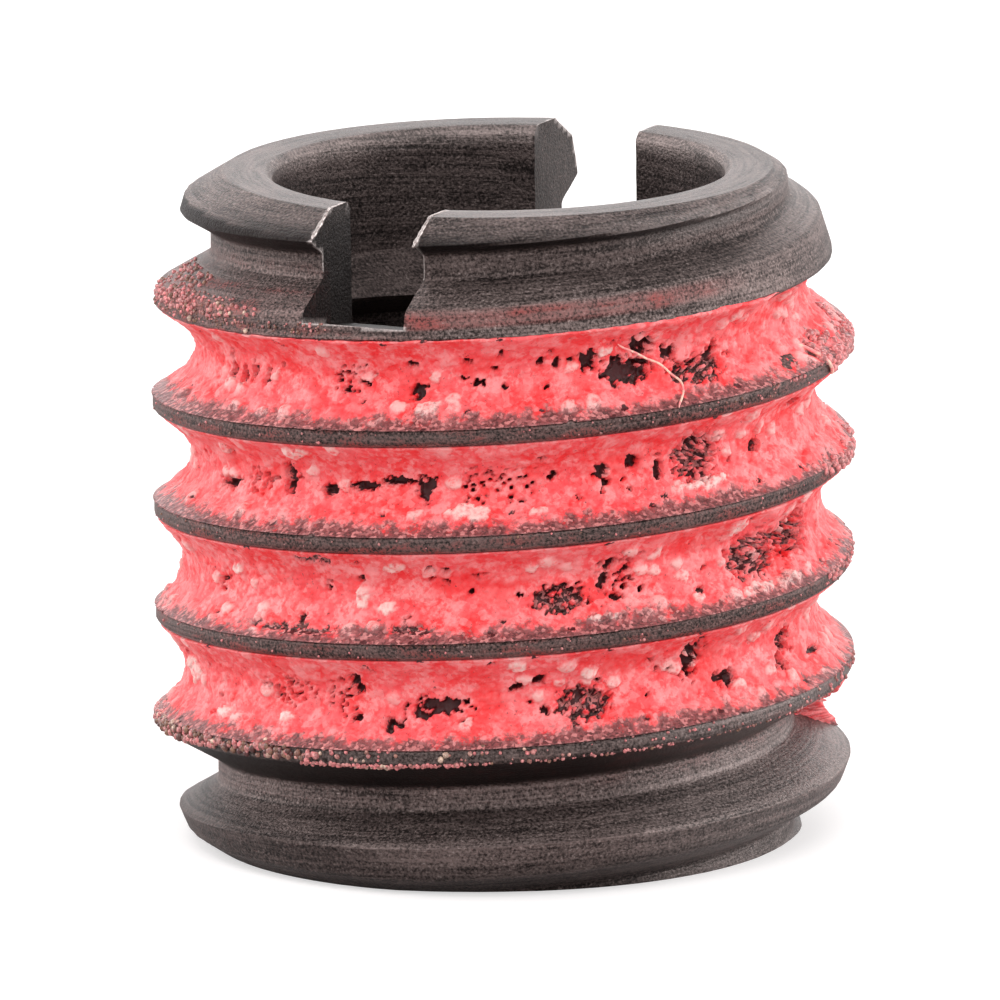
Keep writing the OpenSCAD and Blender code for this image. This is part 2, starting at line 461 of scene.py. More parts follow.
def mark_slot_faces(made, points):
    """Gives the milled material to the faces that lie on the slot's walls and floor."""
    middle = points[read(made.data.loops, "vertex_index", 1, np.int32).reshape(-1, 3)].mean(1)
    normals = read(made.data.polygons, "normal", 3)
    along, across = slot_frame(middle)
    lean = np.radians(SLOT_ANGLE)
    facing = np.abs(normals[:, 1] * np.cos(lean) - normals[:, 0] * np.sin(lean))
    over_floor = middle[:, 2] - slot_floor(along)
    from_wall = np.abs(np.abs(across) - SLOT_WIDTH / 2)
    on_wall = (from_wall < 0.05) & (facing > 0.8) & (over_floor > -0.05)
    on_floor = (np.abs(over_floor) < 0.04) & (normals[:, 2] > 0.8) & (np.abs(across) < SLOT_WIDTH / 2)
    milled = on_wall | on_floor
    made.data.polygons.foreach_set("material_index", milled.astype(np.int32))
    made.data.polygons.foreach_set("use_smooth", ~milled)


def crest_places(points, angle):
    """Height over the nearest crest in millimetres, and the turn at that crest, counted from the first."""
    pitches = (points[:, 2] - FIRST_CREST) / PITCH - angle / 360
    crest = np.round(pitches)
    return (pitches - crest) * PITCH, crest + angle / 360


def bare_share(turn):
    """1 on the turns at both ends, which the coat doesn't reach, and 0 on the others."""
    return 1 - ease(0.9, 1.1, turn) * ease(5.1, 4.9, turn)


def paint_adhesive_marks(made, points, angle, radius):
    """Masks of adhesive dust on the crests between the coat's turns, and of the red stain on the
    crest above the coat, both flecked by noise."""
    height = points[:, 2]
    off, turn = crest_places(points, angle)
    fleck = ease(0.05, 0.45, rough(angle / 9, height * 5, 1, 61, 4))
    coated = ease(0.6, 1.4, turn) * ease(4.75, 4.55, turn)
    beside = ease(0.02, 0.20, np.abs(off)) * (radius > 5.6)
    below = ease(0.10, -0.02, off)
    dust = coated * (0.25 + 0.75 * fleck) * (0.20 + 0.50 * beside + 0.45 * below)
    over = height - FIRST_CREST - PITCH * (4 + angle / 360)
    band = ease(-0.03, 0.02, over) * ease(0.34, 0.24, over)
    right_part = ease(248, 256, angle) * ease(320, 300, angle)
    left_part = ease(178, 186, angle) * ease(226, 205, angle)
    set_mask(made, "dust", dust * (radius > 5))
    set_mask(made, "stain", band * (right_part + left_part) * (radius > 5.7) * (0.45 + 0.5 * fleck))


def paint_shade(made, points, angle, radius):
    """Mask of painted shade: the darkest of its shares under the bare crests, on the crests' flats, at the
    foot, on the top chamfer, ring and lead, in the hole and at the lower left."""
    height = points[:, 2]
    depth = LENGTH - height
    off, turn = crest_places(points, angle)
    front = ease(0.1, 0.8, -np.sin(np.radians(angle)))
    behind = ease(0.2, 0.8, np.sin(np.radians(angle)))
    under = ease(-CREST_HALF, -CREST_HALF - 0.05, off) * ease(-0.82, -0.66, off) * bare_share(turn)
    under = under * np.where(height < 1.2, 0.35, 0.92) * (radius > 5.2) * (depth > 0.42)
    crown = 0.34 * ease(CREST_HALF + 0.02, CREST_HALF - 0.02, np.abs(off)) * (radius > 6.15)
    foot = 0.40 * ease(0.34, 0.26, height) * (radius > 4.5)
    brow = front * ease(0.50, 0.44, depth) * (0.20 + 0.65 * ease(0.16, 0.40, depth)) * (radius > 5.05)
    ring = (0.22 + 0.20 * behind) * (depth < 0.01)
    lead = 0.30 * front * ease(1.25, 1.05, depth) * ease(0.40, 0.50, depth) * (radius > 5.2)
    bore = 0.46 * (radius < BORE_R + 0.02) * (depth > 0.2)
    low_left = 0.36 * ease(1.1, 0.9, height) * ease(262, 235, angle) * ease(150, 175, angle)
    low_left = low_left * (radius > 4.5)
    set_mask(made, "painted_shade", np.maximum.reduce([under, crown, foot, brow, ring, bore, lead, low_left]))


def paint_wear_light_and_shade(made, points, angle, radius):
    """Masks of bright steel, worn and painted as highlight on the corners of the slot and rim, painted
    as highlight on the rim's chamfer and as light a little on the right-hand side, and of painted shade on
    the slot's front walls."""
    depth = LENGTH - points[:, 2]
    turn = crest_places(points, angle)[1]
    along, across = slot_frame(points)
    from_wall = np.abs(np.abs(across) - SLOT_WIDTH / 2)
    at_wall = (from_wall < 0.06) & (depth < 1.1) & (radius > BORE_R + 0.1)
    at_floor = (np.abs(points[:, 2] - slot_floor(along)) < 0.06) & (np.abs(across) < 1.1) & (radius > 5.2)
    at_rim = (depth < 0.02) & (radius < BORE_R + RIM_CHAMFER + 0.1)
    # Worn steel with painted highlight on the sharp edges of the slot and rim
    corner = corner_mask(made, WEAR_AND_HIGHLIGHT_FROM) * (at_wall | at_floor | at_rim)
    # Painted light, a little on the right-hand side
    right = 0.20 * ease(0.45, 0.95, np.cos(np.radians(angle - 345))) * bare_share(turn) * (radius > 5.2)
    # Painted highlight on the rim's chamfer
    rim = 0.16 * (depth < 0.17) * (depth > 0.01) * (radius < BORE_R + RIM_CHAMFER + 0.02)
    set_mask(made, "corner", np.maximum.reduce([corner, right, rim]))
    # Painted shade on the slot's walls and floor in its front half
    set_mask(made, "slot_painted_shade", 0.66 * (along < 0) * ease(-0.2, 0.5, depth))


# Adhesive coat. Marks are (turn, angle, rise above the groove's middle, half length, half height).
PITS = [
    (4, 211, -0.08, 0.10, 0.16), (4, 215, -0.12, 0.09, 0.18), (4, 218, -0.04, 0.07, 0.14),
    (4, 222, -0.10, 0.08, 0.12), (4, 241, -0.21, 0.08, 0.08), (4, 245, -0.10, 0.06, 0.05),
    (4, 254, 0.24, 0.09, 0.05), (4, 255, -0.22, 0.14, 0.12), (4, 264, 0.31, 0.08, 0.06),
    (4, 270, 0.44, 0.05, 0.08), (4, 266, -0.12, 0.10, 0.07), (4, 277, 0.18, 0.08, 0.08),
    (4, 280, 0.11, 0.06, 0.07), (4, 286, 0.12, 0.20, 0.16), (4, 293, -0.16, 0.42, 0.24),
    (4, 296, 0.28, 0.26, 0.22), (4, 302, 0.00, 0.15, 0.15), (4, 312, -0.10, 0.15, 0.14),
    (3, 210, -0.17, 0.30, 0.12), (3, 228, 0.02, 0.12, 0.28), (3, 237, -0.11, 0.15, 0.11),
    (3, 244, -0.01, 0.22, 0.09), (3, 251, 0.07, 0.28, 0.08), (3, 256, -0.06, 0.16, 0.18),
    (3, 279, 0.04, 0.06, 0.11), (3, 288, 0.03, 0.13, 0.13), (3, 289, -0.18, 0.10, 0.05),
    (3, 294, 0.13, 0.14, 0.12), (3, 299, -0.08, 0.07, 0.20), (3, 332, 0.49, 0.18, 0.08),
    (3, 322, -0.10, 0.16, 0.09), (2, 209, 0.00, 0.12, 0.06), (2, 237, 0.06, 0.06, 0.05),
    (2, 244, 0.28, 0.08, 0.06), (2, 260, 0.44, 0.06, 0.06), (2, 264, -0.03, 0.06, 0.06),
    (2, 232, -0.50, 0.07, 0.13), (2, 288, -0.04, 0.08, 0.15), (2, 289, 0.29, 0.09, 0.13),
    (2, 292, 0.16, 0.08, 0.09), (2, 290, -0.34, 0.08, 0.06), (2, 295, -0.25, 0.07, 0.06),
    (2, 307, -0.46, 0.10, 0.05), (1, 243, 0.26, 0.12, 0.16), (1, 243, -0.33, 0.10, 0.07),
    (1, 250, -0.42, 0.15, 0.12), (1, 258, -0.13, 0.45, 0.13), (1, 255, -0.25, 0.20, 0.08),
    (1, 272, 0.17, 0.11, 0.08), (1, 276, 0.26, 0.11, 0.09), (1, 277, -0.31, 0.12, 0.07),
    (1, 305, 0.28, 0.18, 0.38), (1, 313, -0.28, 0.22, 0.15), (1, 331, 0.02, 0.22, 0.20),
    (1, 329, -0.30, 0.15, 0.15), (1, 343, -0.45, 0.35, 0.05),
]
BARE = [
    (4, 308, -0.36, 0.60, 0.24), (3, 307, 0.05, 0.46, 0.46), (2, 280, -0.23, 0.50, 0.24),
    (2, 321, -0.10, 0.70, 0.40), (2, 334, -0.02, 0.85, 0.36), (1, 284, -0.24, 0.46, 0.28),
    (2, 236, 0.66, 0.42, 0.10), (2, 232, -0.66, 0.80, 0.10), (2, 254, -0.64, 0.35, 0.10),
]
PINHOLES = [
    (3, 266, -0.03, 0.30, 0.32), (3, 272, -0.03, 0.42, 0.27), (1, 228, 0.08, 0.62, 0.26),
    (1, 240, 0.02, 0.26, 0.38), (3, 220, -0.05, 0.40, 0.25), (4, 242, -0.05, 0.40, 0.30),
    (2, 290, 0.05, 0.30, 0.40), (1, 284, -0.24, 0.40, 0.22),
]
FLAKES = [
    (3, 232, 0.62, 0.26, 0.11), (3, 264, -0.50, 0.40, 0.13), (3, 308, -0.50, 0.50, 0.09),
    (3, 276, -0.55, 0.16, 0.07), (2, 215, 0.27, 0.16, 0.11), (2, 244, -0.10, 0.14, 0.20),
    (2, 249, -0.28, 0.16, 0.13), (2, 251, 0.52, 0.18, 0.12), (2, 314, 0.60, 0.22, 0.14),
    (2, 306, -0.55, 0.12, 0.08), (2, 319, -0.66, 0.40, 0.09), (2, 328, -0.72, 0.34, 0.06),
    (2, 287, -0.66, 0.36, 0.05), (1, 197, 0.12, 0.32, 0.22), (1, 272, 0.62, 0.15, 0.10),
    (1, 285, 0.34, 0.14, 0.12), (1, 212, -0.47, 0.24, 0.10), (1, 228, -0.39, 0.20, 0.08),
    (4, 257, -0.55, 0.26, 0.13), (4, 289, 0.27, 0.12, 0.10),
]
REDDER = [
    (3, 212, 0.28, 0.40, 0.22), (3, 322, 0.00, 0.45, 0.25), (2, 262, 0.15, 0.45, 0.30),
    (2, 269, -0.05, 0.42, 0.28), (1, 267, -0.05, 0.34, 0.42), (1, 291, 0.40, 0.55, 0.22),
    (1, 309, 0.10, 0.45, 0.45), (4, 299, -0.35, 0.26, 0.22), (4, 283, 0.25, 0.40, 0.24),
    (4, 255, -0.15, 0.34, 0.30), (4, 266, 0.20, 0.40, 0.20), (2, 335, 0.10, 0.55, 0.30),
    (3, 290, 0.10, 0.60, 0.30),
]


def marked(marks, turn_angle, rise, seed, rag):
    """Distance from the nearest of the marks in shares of its size, made ragged by noise: 1 is its rim."""
    along = np.radians(turn_angle) * COAT_R
    nearest = np.full(along.shape, FAR)
    for turn, angle, up, half_length, half_height in marks:
        start = np.radians(360 * turn + angle) * COAT_R
        away = np.hypot((along - start) / half_length, (rise - up) / half_height)
        nearest = np.minimum(nearest, away)
    return nearest + rag * rough(along, rise, 0.13, seed, 4)


def coat_base(turn_angle, share):
    """The coat's plain section as radius and rise: a smooth hollow from crest edge to crest edge, a
    little fuller on the right-hand side, for a share from -1 to 1 across the groove."""
    middle = COAT_HOLLOW_R + 0.10 * (1 + np.cos(np.radians(turn_angle)))
    middle = middle + np.interp(turn_angle, *np.transpose(COAT_SWELL))
    radius = middle + (CREST_R + 0.01 - middle) * np.abs(share) ** 2.2
    return radius, share * GROOVE_HALF


def groove_height(turn_angle):
    """Height of the middle of the groove at that turn angle."""
    return FIRST_CREST - PITCH / 2 + PITCH * turn_angle / 360


def on_insert(turn_angle, rise, radius):
    """Points from turn angle, rise above the groove's middle and radius."""
    angle = np.radians(turn_angle)
    return np.stack([radius * np.cos(angle), radius * np.sin(angle), groove_height(turn_angle) + rise], -1)


def steel_radius(rise):
    """Radius of the bare groove at that rise from its middle."""
    return np.clip(ROOT_R + (np.abs(rise) - FLOOR_HALF) * FLANK, ROOT_R, CREST_R)


def coat_surface(turn_angle, share):
    """Lift of the coat off its plain section, the share of it that is kept, and its masks. Swells,
    clots, crumbs and flakes add height, and pits, stray holes, pores and bare spots take it away.
    Towards the lower crest it thins out to a film."""
    radius, rise = coat_base(turn_angle, share)
    along = np.radians(turn_angle) * COAT_R
    fold = rise * 1.25
    facing = np.cos(np.radians(turn_angle - 10))
    inner = ease(1.0, 0.72, np.abs(share))

    swell = rough(along, fold, 1.2, 11, 3) * (0.070 + 0.025 * facing)
    clot_near, clot_own = grains(along + 0.05 * rough(along, fold, 0.3, 13), fold, 0.30, 15)
    clot = np.clip(1 - (clot_near / 0.75) ** 2, 0, 1) * (0.35 + 0.65 * clot_own)
    crumb_near, crumb_own = grains(along, fold, 0.10, 17)
    crumb = np.clip(1 - (crumb_near / 0.7) ** 2, 0, 1) * crumb_own
    lift = inner * (swell + 0.050 * clot + 0.018 * crumb + 0.012 * rough(along, fold, 0.18, 19))

    flake = ease(1.05, 0.85, marked(FLAKES, turn_angle, rise, 21, 0.45))
    small_flake = ease(0.90, 0.94, clot_own) * ease(0.55, 0.40, clot_near)
    lift = lift + 0.055 * flake + 0.035 * small_flake * inner

    pit = ease(1.10, 0.84, marked(PITS, turn_angle, rise, 23, 0.85))
    hole_near, hole_own = grains(along, fold * 1.2, 0.42, 25)
    hole_edge = hole_near + 0.16 * rough(along, fold, 0.07, 27)
    stray = ease(0.84, 0.86, hole_own) * ease(0.15, 0.08, hole_edge)
    pore_near, pore_own = grains(along, fold, 0.115, 29)
    pore_edge = pore_near + 0.14 * rough(along, fold, 0.06, 34, 2)
    pore = ease(0.40, 0.28, pore_edge) * ease(0.42, 0.52, pore_own)
    pore = pore * ease(1.15, 0.80, marked(PINHOLES, turn_angle, rise, 31, 0.5))
    bare = ease(1.15, 0.75, marked(BARE, turn_angle, rise, 35, 0.5))
    bare = bare * ease(-0.45, -0.12, rough(along, fold, 0.12, 37, 3))
    hollow = np.maximum.reduce([pit, stray * (1 - flake), pore, bare])
    room = np.maximum((radius - steel_radius(rise)) * 0.75, 0.02)
    lift = lift * (1 - hollow) - hollow * np.minimum(room - 0.01, 0.24)

    # The film starts nearer to the lower crest on the right.
    ragged = 0.16 * rough(along, fold, 0.22, 47, 4) + 0.10 * rough(along, fold, 1.3, 48)
    on_right = ease(0.75, 0.95, np.cos(np.radians(turn_angle - 350)))
    film = ease(0.62, 0.98, -share + ragged - 0.12 * on_right)
    border = ease(0.60, 0.97, np.abs(share))
    lift = lift * (1 - 0.8 * ease(0.3, 0.7, film)) + border * 0.020

    # The upper edge comes down over the last turn, and the start runs slantwise across the groove.
    top_share = 0.93 - 0.42 * ease(1752, 1798, turn_angle) + 0.03 * rough(along, 0 * fold, 0.35, 50)
    top_share = np.where(turn_angle > 1440, top_share, np.maximum(top_share, 0.95))
    low_share = np.interp(turn_angle, *np.transpose(COAT_START_EDGE)) + 0.25 * rough(along, fold, 0.16, 51)
    kept = ease(0.03, -0.03, share - top_share) * ease(-0.06, 0.06, share - low_share)
    kept = kept * ease(0, 8, COAT_END - turn_angle)
    # Painted highlight: the tops of clots and crumbs are paler
    clot_highlight = 0.5 * clot * ease(0.2, 0.7, clot_own) + 0.25 * crumb * inner
    masks = {
        "hollow": hollow,
        "pale": 0.9 * flake + 0.8 * small_flake + clot_highlight,
        "flake": flake + 0.6 * small_flake,
        "red": ease(1.3, 0.5, marked(REDDER, turn_angle, rise, 45, 0.6)),
        "film": film,
        "bare": bare,
    }
    return lift, kept, masks


def coat_columns(start, end):
    """Angles from start to end, 0.32 degrees apart where the coat faces the photograph and 0.72
    behind, by counting steps along a fine line of angles."""
    fine = 0.05
    dense = np.arange(start, end, fine)
    step = 0.72 - 0.40 * ease(0.45, -0.35, np.sin(np.radians(dense)))
    count = np.concatenate([[0], np.cumsum(fine / step)])
    total = int(np.ceil(count[-1]))
    return np.interp(np.linspace(0, count[-1], total + 1), count, np.append(dense, end))


def coat_points(start, end):
    """The coat from one angle to another: its open face lifted along the section's normal, closed by
    a back that lies inside the steel. The rows are closer together towards the groove's edges."""
    turn_angle = coat_columns(start, end)[:, None]
    share = np.sin(np.linspace(-1, 1, COAT_ROWS) * 0.31 * np.pi) / np.sin(0.31 * np.pi)
    share = share[None, :] + 0 * turn_angle
    radius, rise = coat_base(turn_angle, share)
    lift, kept, masks = coat_surface(turn_angle + 0 * share, share)
    near_r, near_rise = coat_base(turn_angle, share + 1e-3)
    slope_r, slope_z = near_r - radius, near_rise - rise
    length = np.hypot(slope_r, slope_z)
    face_r = radius + lift * slope_z / length
    face_rise = rise - lift * slope_r / length
    face_z = face_rise + groove_height(turn_angle)
    face_r = soft_min(face_r, lead_radius(face_z) + 0.012, 0.03)
    face_r = kept * face_r + (1 - kept) * (thread_radius(turn_angle, face_z) - 0.08)
    back_rise, back_r = np.transpose(COAT_BACK)[:, None, :] + 0 * turn_angle
    ring_r = np.concatenate([face_r, back_r], 1)
    ring_rise = np.concatenate([face_rise, back_rise], 1)
    rings = on_insert(turn_angle, ring_rise, ring_r)
    masks = {name: np.concatenate([mask, 0 * back_r], 1) for name, mask in masks.items()}
    return rings, masks


def make_coat(material):
    """The adhesive in four lengths, which meet behind. The hubs of their ends lie inside the steel."""
    for k, (start, end) in enumerate(zip(COAT_CUTS, COAT_CUTS[1:])):
        rings, masks = coat_points(start, end)
        points, triangles = closed_tube(rings, [rings[0, -3:-1].mean(0), rings[-1, -3:-1].mean(0)])
        open_face = np.arange(len(triangles)) < len(triangles) - 2 * rings.shape[1]
        made = mesh_object("adhesive_turn_%d" % (k + 1), points, triangles, open_face)
        for name, mask in masks.items():
            set_mask(made, name, np.append(mask.ravel(), [0, 0]))
        dress(made, [material], ["thread_locker"])


# Crumbs, fibres and burrs. A patch of crumbs is (crest, angles from and to, heights over the crest
# from and to, count, smallest and largest radius, tones from and to).
CRUMBS = {
    "crumbs_top_left": [
        (4, 178, 202, 0.00, 0.60, 190, 0.026, 0.055, 0.20, 0.72),
        (4, 196, 218, 0.02, 0.36, 110, 0.022, 0.048, 0.20, 0.72),
        (4, 212, 226, 0.10, 0.26, 12, 0.035, 0.055, 0.5, 1.0),
        (4, 180, 240, -0.12, 0.08, 170, 0.016, 0.036, 0.05, 0.60),
        (4, 205, 207, -0.10, -0.06, 1, 0.055, 0.060, 0.9, 1.0),
        (4, 222, 224, -0.14, -0.12, 1, 0.045, 0.050, 0.9, 1.0),
    ],
    "crumbs_right": [
        (3, 338, 368, -0.08, 0.52, 130, 0.055, 0.110, 0.46, 0.74),
        (3, 320, 344, 0.06, 0.34, 60, 0.020, 0.045, 0.3, 0.7),
        (2, 334, 368, -0.06, 0.56, 130, 0.050, 0.105, 0.46, 0.74),
        (1, 338, 368, -0.05, 0.45, 110, 0.030, 0.065, 0.4, 0.75),
        (0, 338, 362, -0.10, 0.30, 60, 0.025, 0.050, 0.3, 0.8),
    ],
    "crumbs_low_left": [
        (0, 172, 238, -0.08, 0.12, 190, 0.045, 0.085, 0.00, 0.62),
        (0, 176, 232, 0.02, 0.36, 90, 0.030, 0.065, 0.05, 0.75),
        (0, 232, 275, -0.06, 0.18, 30, 0.026, 0.055, 0.1, 0.95),
        (0, 258, 262, -0.04, 0.10, 2, 0.060, 0.070, 0.9, 1.0),
        (0, 174, 196, 0.10, 0.70, 80, 0.040, 0.080, 0.25, 0.85),
        (0, 184, 236, -0.08, 0.20, 14, 0.050, 0.075, 0.8, 1.0),
    ],
    "crust_low": [
        (0, 234, 262, -0.17, -0.12, 150, 0.022, 0.052, 0.30, 0.80),
        (0, 262, 300, -0.17, -0.12, 80, 0.016, 0.044, 0.25, 0.65),
        (0, 300, 345, -0.17, -0.13, 60, 0.014, 0.032, 0.2, 0.6),
        (0, 244, 252, -0.20, -0.14, 26, 0.030, 0.056, 0.6, 0.95),
    ],
    "crumbs_on_crests": [
        (1, 185, 355, -0.12, 0.34, 130, 0.012, 0.030, 0.2, 0.8),
        (2, 185, 355, -0.12, 0.38, 130, 0.012, 0.030, 0.2, 0.8),
        (3, 185, 340, -0.12, 0.38, 130, 0.012, 0.030, 0.2, 0.8),
        (0, 262, 345, -0.12, 0.30, 80, 0.014, 0.036, 0.3, 0.9),
    ],
}
# The fibres' radius and path, as (turn angle, rise above the groove's middle, radius)
FIBRES = {
    "fibre_pink": (0.021, [
        (1731.0, 0.38, 5.86), (1732.0, 0.30, 5.84), (1734.6, 0.16, 5.80), (1736.8, 0.02, 5.78),
        (1739.4, -0.12, 5.80), (1741.4, -0.33, 5.88), (1742.6, -0.46, 5.98), (1742.4, -0.60, 6.10),
        (1741.4, -0.70, 6.22), (1740.3, -0.77, 6.34), (1740.0, -0.84, 6.37),
    ]),
    "fibre_ivory": (0.036, [
        (1775.5, -0.50, 5.88), (1776.5, -0.56, 5.97), (1777.2, -0.64, 6.10), (1777.8, -0.76, 6.28),
        (1778.6, -0.90, 6.39), (1779.4, -1.04, 6.40), (1780.0, -1.12, 6.36),
    ]),
}


def lumpy_balls(centres, radii, seed):
    """Balls on a grid of rings and columns, closed at both poles, whose radius waves in three directions."""
    polar = np.linspace(0, np.pi, BALL_ROWS)[:, None]
    around = np.linspace(0, 2 * np.pi, BALL_COLUMNS)[None, :]
    unit = np.stack([np.sin(polar) * np.cos(around), np.sin(polar) * np.sin(around),
                     np.cos(polar) + 0 * around], -1)
    unit[:, -1] = unit[:, 0]
    rng = np.random.default_rng(seed)
    tilt = rng.normal(size=(len(radii), 3, 3))
    phase = rng.random((len(radii), 1, 1, 3)) * 2 * np.pi
    swing = np.sin(2.2 * np.einsum("pqc,ncd->npqd", unit, tilt) + phase).sum(-1)
    size = radii[:, None, None] * (1 + 0.10 * swing)
    points = centres[:, None, None, :] + unit[None] * size[..., None]
    first = np.arange(len(radii))[:, None, None] * BALL_ROWS * BALL_COLUMNS
    triangles = (first + grid_triangles(BALL_ROWS, BALL_COLUMNS)[None]).reshape(-1, 3)
    return points.reshape(-1, 3), triangles


def make_crumbs(material):
    """Crumbs scattered over patches of the crests, each sunk by most of its radius."""
    for k, (name, patches) in enumerate(CRUMBS.items()):
        rng = np.random.default_rng(70 + k)
        rows = []
        for crest, first, last, low, high, count, small, large, dull, bright in patches:
            angle = first + (last - first) * rng.random(count)
            over = low + (high - low) * rng.random(count)
            size = small + (large - small) * rng.random(count) ** 1.5
            tone = dull + (bright - dull) * rng.random(count)
            rows.append(np.stack([angle + 360 * crest, over, size, tone]))
        turn_angle, over, size, tone = np.concatenate(rows, 1)
        rise = over + PITCH / 2
        radius = thread_radius(turn_angle % 360, groove_height(turn_angle) + rise) + 0.02 * size
        points, triangles = lumpy_balls(on_insert(turn_angle, rise, radius), size, 90 + k)
        points, triangles, kept = welded(points, triangles, 1e-5)
        made = mesh_object(name, points, triangles)
        face_outward(made)
        set_mask(made, "tone", np.repeat(tone, BALL_ROWS * BALL_COLUMNS)[kept])
        dress(made, [material], [])


def tube(path, radius):
    """A round tube along a smooth path through the points, a cubic from each point to the next that
    looks at its neighbours too, thinner at both ends."""
    path = np.asarray(path, float)
    at = np.linspace(0, len(path) - 1, TUBE_FINER * len(path))
    near = np.clip(np.floor(at).astype(int), 0, len(path) - 2)
    t = (at - near)[:, None]
    before, after = path[np.maximum(near - 1, 0)], path[np.minimum(near + 2, len(path) - 1)]
    p, q = path[near], path[near + 1]
    line = 0.5 * (2 * p + (q - before) * t + (2 * before - 5 * p + 4 * q - after) * t ** 2
                  + (3 * p - 3 * q + after - before) * t ** 3)
    ahead = np.gradient(line, axis=0)
    ahead /= np.linalg.norm(ahead, axis=1)[:, None]
    side = np.cross(ahead, [0.31, 0.17, 0.94])
    side /= np.linalg.norm(side, axis=1)[:, None]
    other = np.cross(ahead, side)
    turn = (np.arange(TUBE_SIDES) * 2 * np.pi / TUBE_SIDES)[None, :, None]
    width = np.asarray(radius) * np.minimum(1, 0.4 + 6 * np.minimum(at, at[-1] - at) / len(path))
    spoke = side[:, None] * np.cos(turn) + other[:, None] * np.sin(turn)
    return line[:, None] + width[:, None, None] * spoke


def make_fibres(material):
    """Two fibres stuck in the adhesive."""
    for name, (radius, path) in FIBRES.items():
        made = mesh_object(name, *closed_tube(tube(on_insert(*np.transpose(path)), radius)))
        face_outward(made)
        dress(made, [material], [])


def make_burrs(material):
    """Burrs along the front edges of the slot, from the ring down the chamfer, thicker at the foot."""
    lean = np.radians(SLOT_ANGLE)
    away, reach = np.transpose(TOP_LEAD)
    for side, name in ((-1, "burr_right"), (1, "burr_left")):
        radius = np.linspace(*BURR_REACH, 26)[::2]
        across = SLOT_OFFSET + side * SLOT_WIDTH / 2
        along = -np.sqrt(radius ** 2 - across ** 2)
        path = np.stack([along * np.cos(lean) - across * np.sin(lean),
                         along * np.sin(lean) + across * np.cos(lean),
                         LENGTH - np.interp(radius, reach, away) + 0.004], -1)
        step = np.arange(TUBE_FINER * len(path))
        width = 0.022 + 0.012 * rough(step * 0.13, 0 * step, 1, 55 + side)
        width = width * np.interp(step / step[-1], [0, 0.4, 0.75, 1], [0.7, 0.8, 1.6, 2.2])
        made = mesh_object(name, *closed_tube(tube(path, width)))
        face_outward(made)
        dress(made, [material], [])


# Materials

def plug(tree, made, links):
    """Sets or links a node's inputs by name or number."""
    for name, value in links.items():
        if isinstance(value, bpy.types.NodeSocket):
            tree.links.new(value, made.inputs[name])
        else:
            made.inputs[name].default_value = value


def node(tree, kind, links=None, **settings):
    """A new shader node with its settings and inputs."""
    made = tree.nodes.new(kind)
    for name, value in settings.items():
        setattr(made, name, value)
    plug(tree, made, links or {})
    return made


def calc(tree, operation, *values):
    """One math node's result."""
    return node(tree, "ShaderNodeMath", dict(enumerate(values)), operation=operation).outputs[0]


def times(tree, a, b):
    """The product of two values."""
    return calc(tree, "MULTIPLY", a, b)


def plus(tree, a, b):
    """The sum of two values."""
    return calc(tree, "ADD", a, b)


def mix(tree, share, low, high):
    """A colour between two others."""
    return node(tree, "ShaderNodeMix", {0: share, 6: low, 7: high}, data_type="RGBA").outputs[2]


def spread(tree, value, low, high, to_low=0.0, to_high=1.0):
    """A value from one range carried smoothly to another."""
    ends = {0: value, 1: low, 2: high, 3: to_low, 4: to_high}
    return node(tree, "ShaderNodeMapRange", ends, interpolation_type="SMOOTHSTEP").outputs[0]


def mask_of(tree, name):
    """A mask kept on the mesh's points."""
    return node(tree, "ShaderNodeAttribute", attribute_name=name).outputs["Fac"]


def raised(tree, strength, distance, height):
    """The normal of a bump."""
    links = {"Strength": strength, "Distance": distance, "Height": height}
    return node(tree, "ShaderNodeBump", links).outputs[0]


def noise(tree, place, scale, detail, roughness=0.5):
    """Noise at a place, about a half."""
    links = {"Vector": place, "Scale": scale, "Detail": detail, "Roughness": roughness}
    return node(tree, "ShaderNodeTexNoise", links).outputs[0]


def new_group(name, inputs, outputs):
    """An empty shared group with named number sockets, and its input node's outputs."""
    group = bpy.data.node_groups.new(name, "ShaderNodeTree")
    for way, names in (("INPUT", inputs), ("OUTPUT", outputs)):
        for socket in names:
            group.interface.new_socket(socket, in_out=way, socket_type="NodeSocketFloat")
    return group, node(group, "NodeGroupInput").outputs


def grain_group():
    """Shared grain from Object coordinates: fine and broad noise as one value, the fine noise less the
    cells as a height, and each cell's own chance."""
    group, given = new_group("surface_grain", ["Size"], ["Value", "Height", "Cell"])
    place = node(group, "ShaderNodeTexCoord").outputs["Object"]
    scaled = node(group, "ShaderNodeVectorMath", {0: place, 3: given["Size"]}, operation="SCALE").outputs[0]
    fine = noise(group, scaled, 1.0, 4.0, 0.65)
    broad = noise(group, scaled, 0.13, 2.0)
    cells = node(group, "ShaderNodeTexVoronoi", {"Vector": scaled, "Scale": 0.9})
    value = plus(group, times(group, fine, 0.88), times(group, broad, 0.12))
    chance = node(group, "ShaderNodeSeparateXYZ", {0: cells.outputs["Color"]}).outputs[0]
    height = calc(group, "SUBTRACT", fine, times(group, cells.outputs[0], 0.35))
    node(group, "NodeGroupOutput", {"Value": value, "Height": height, "Cell": chance})
    return group


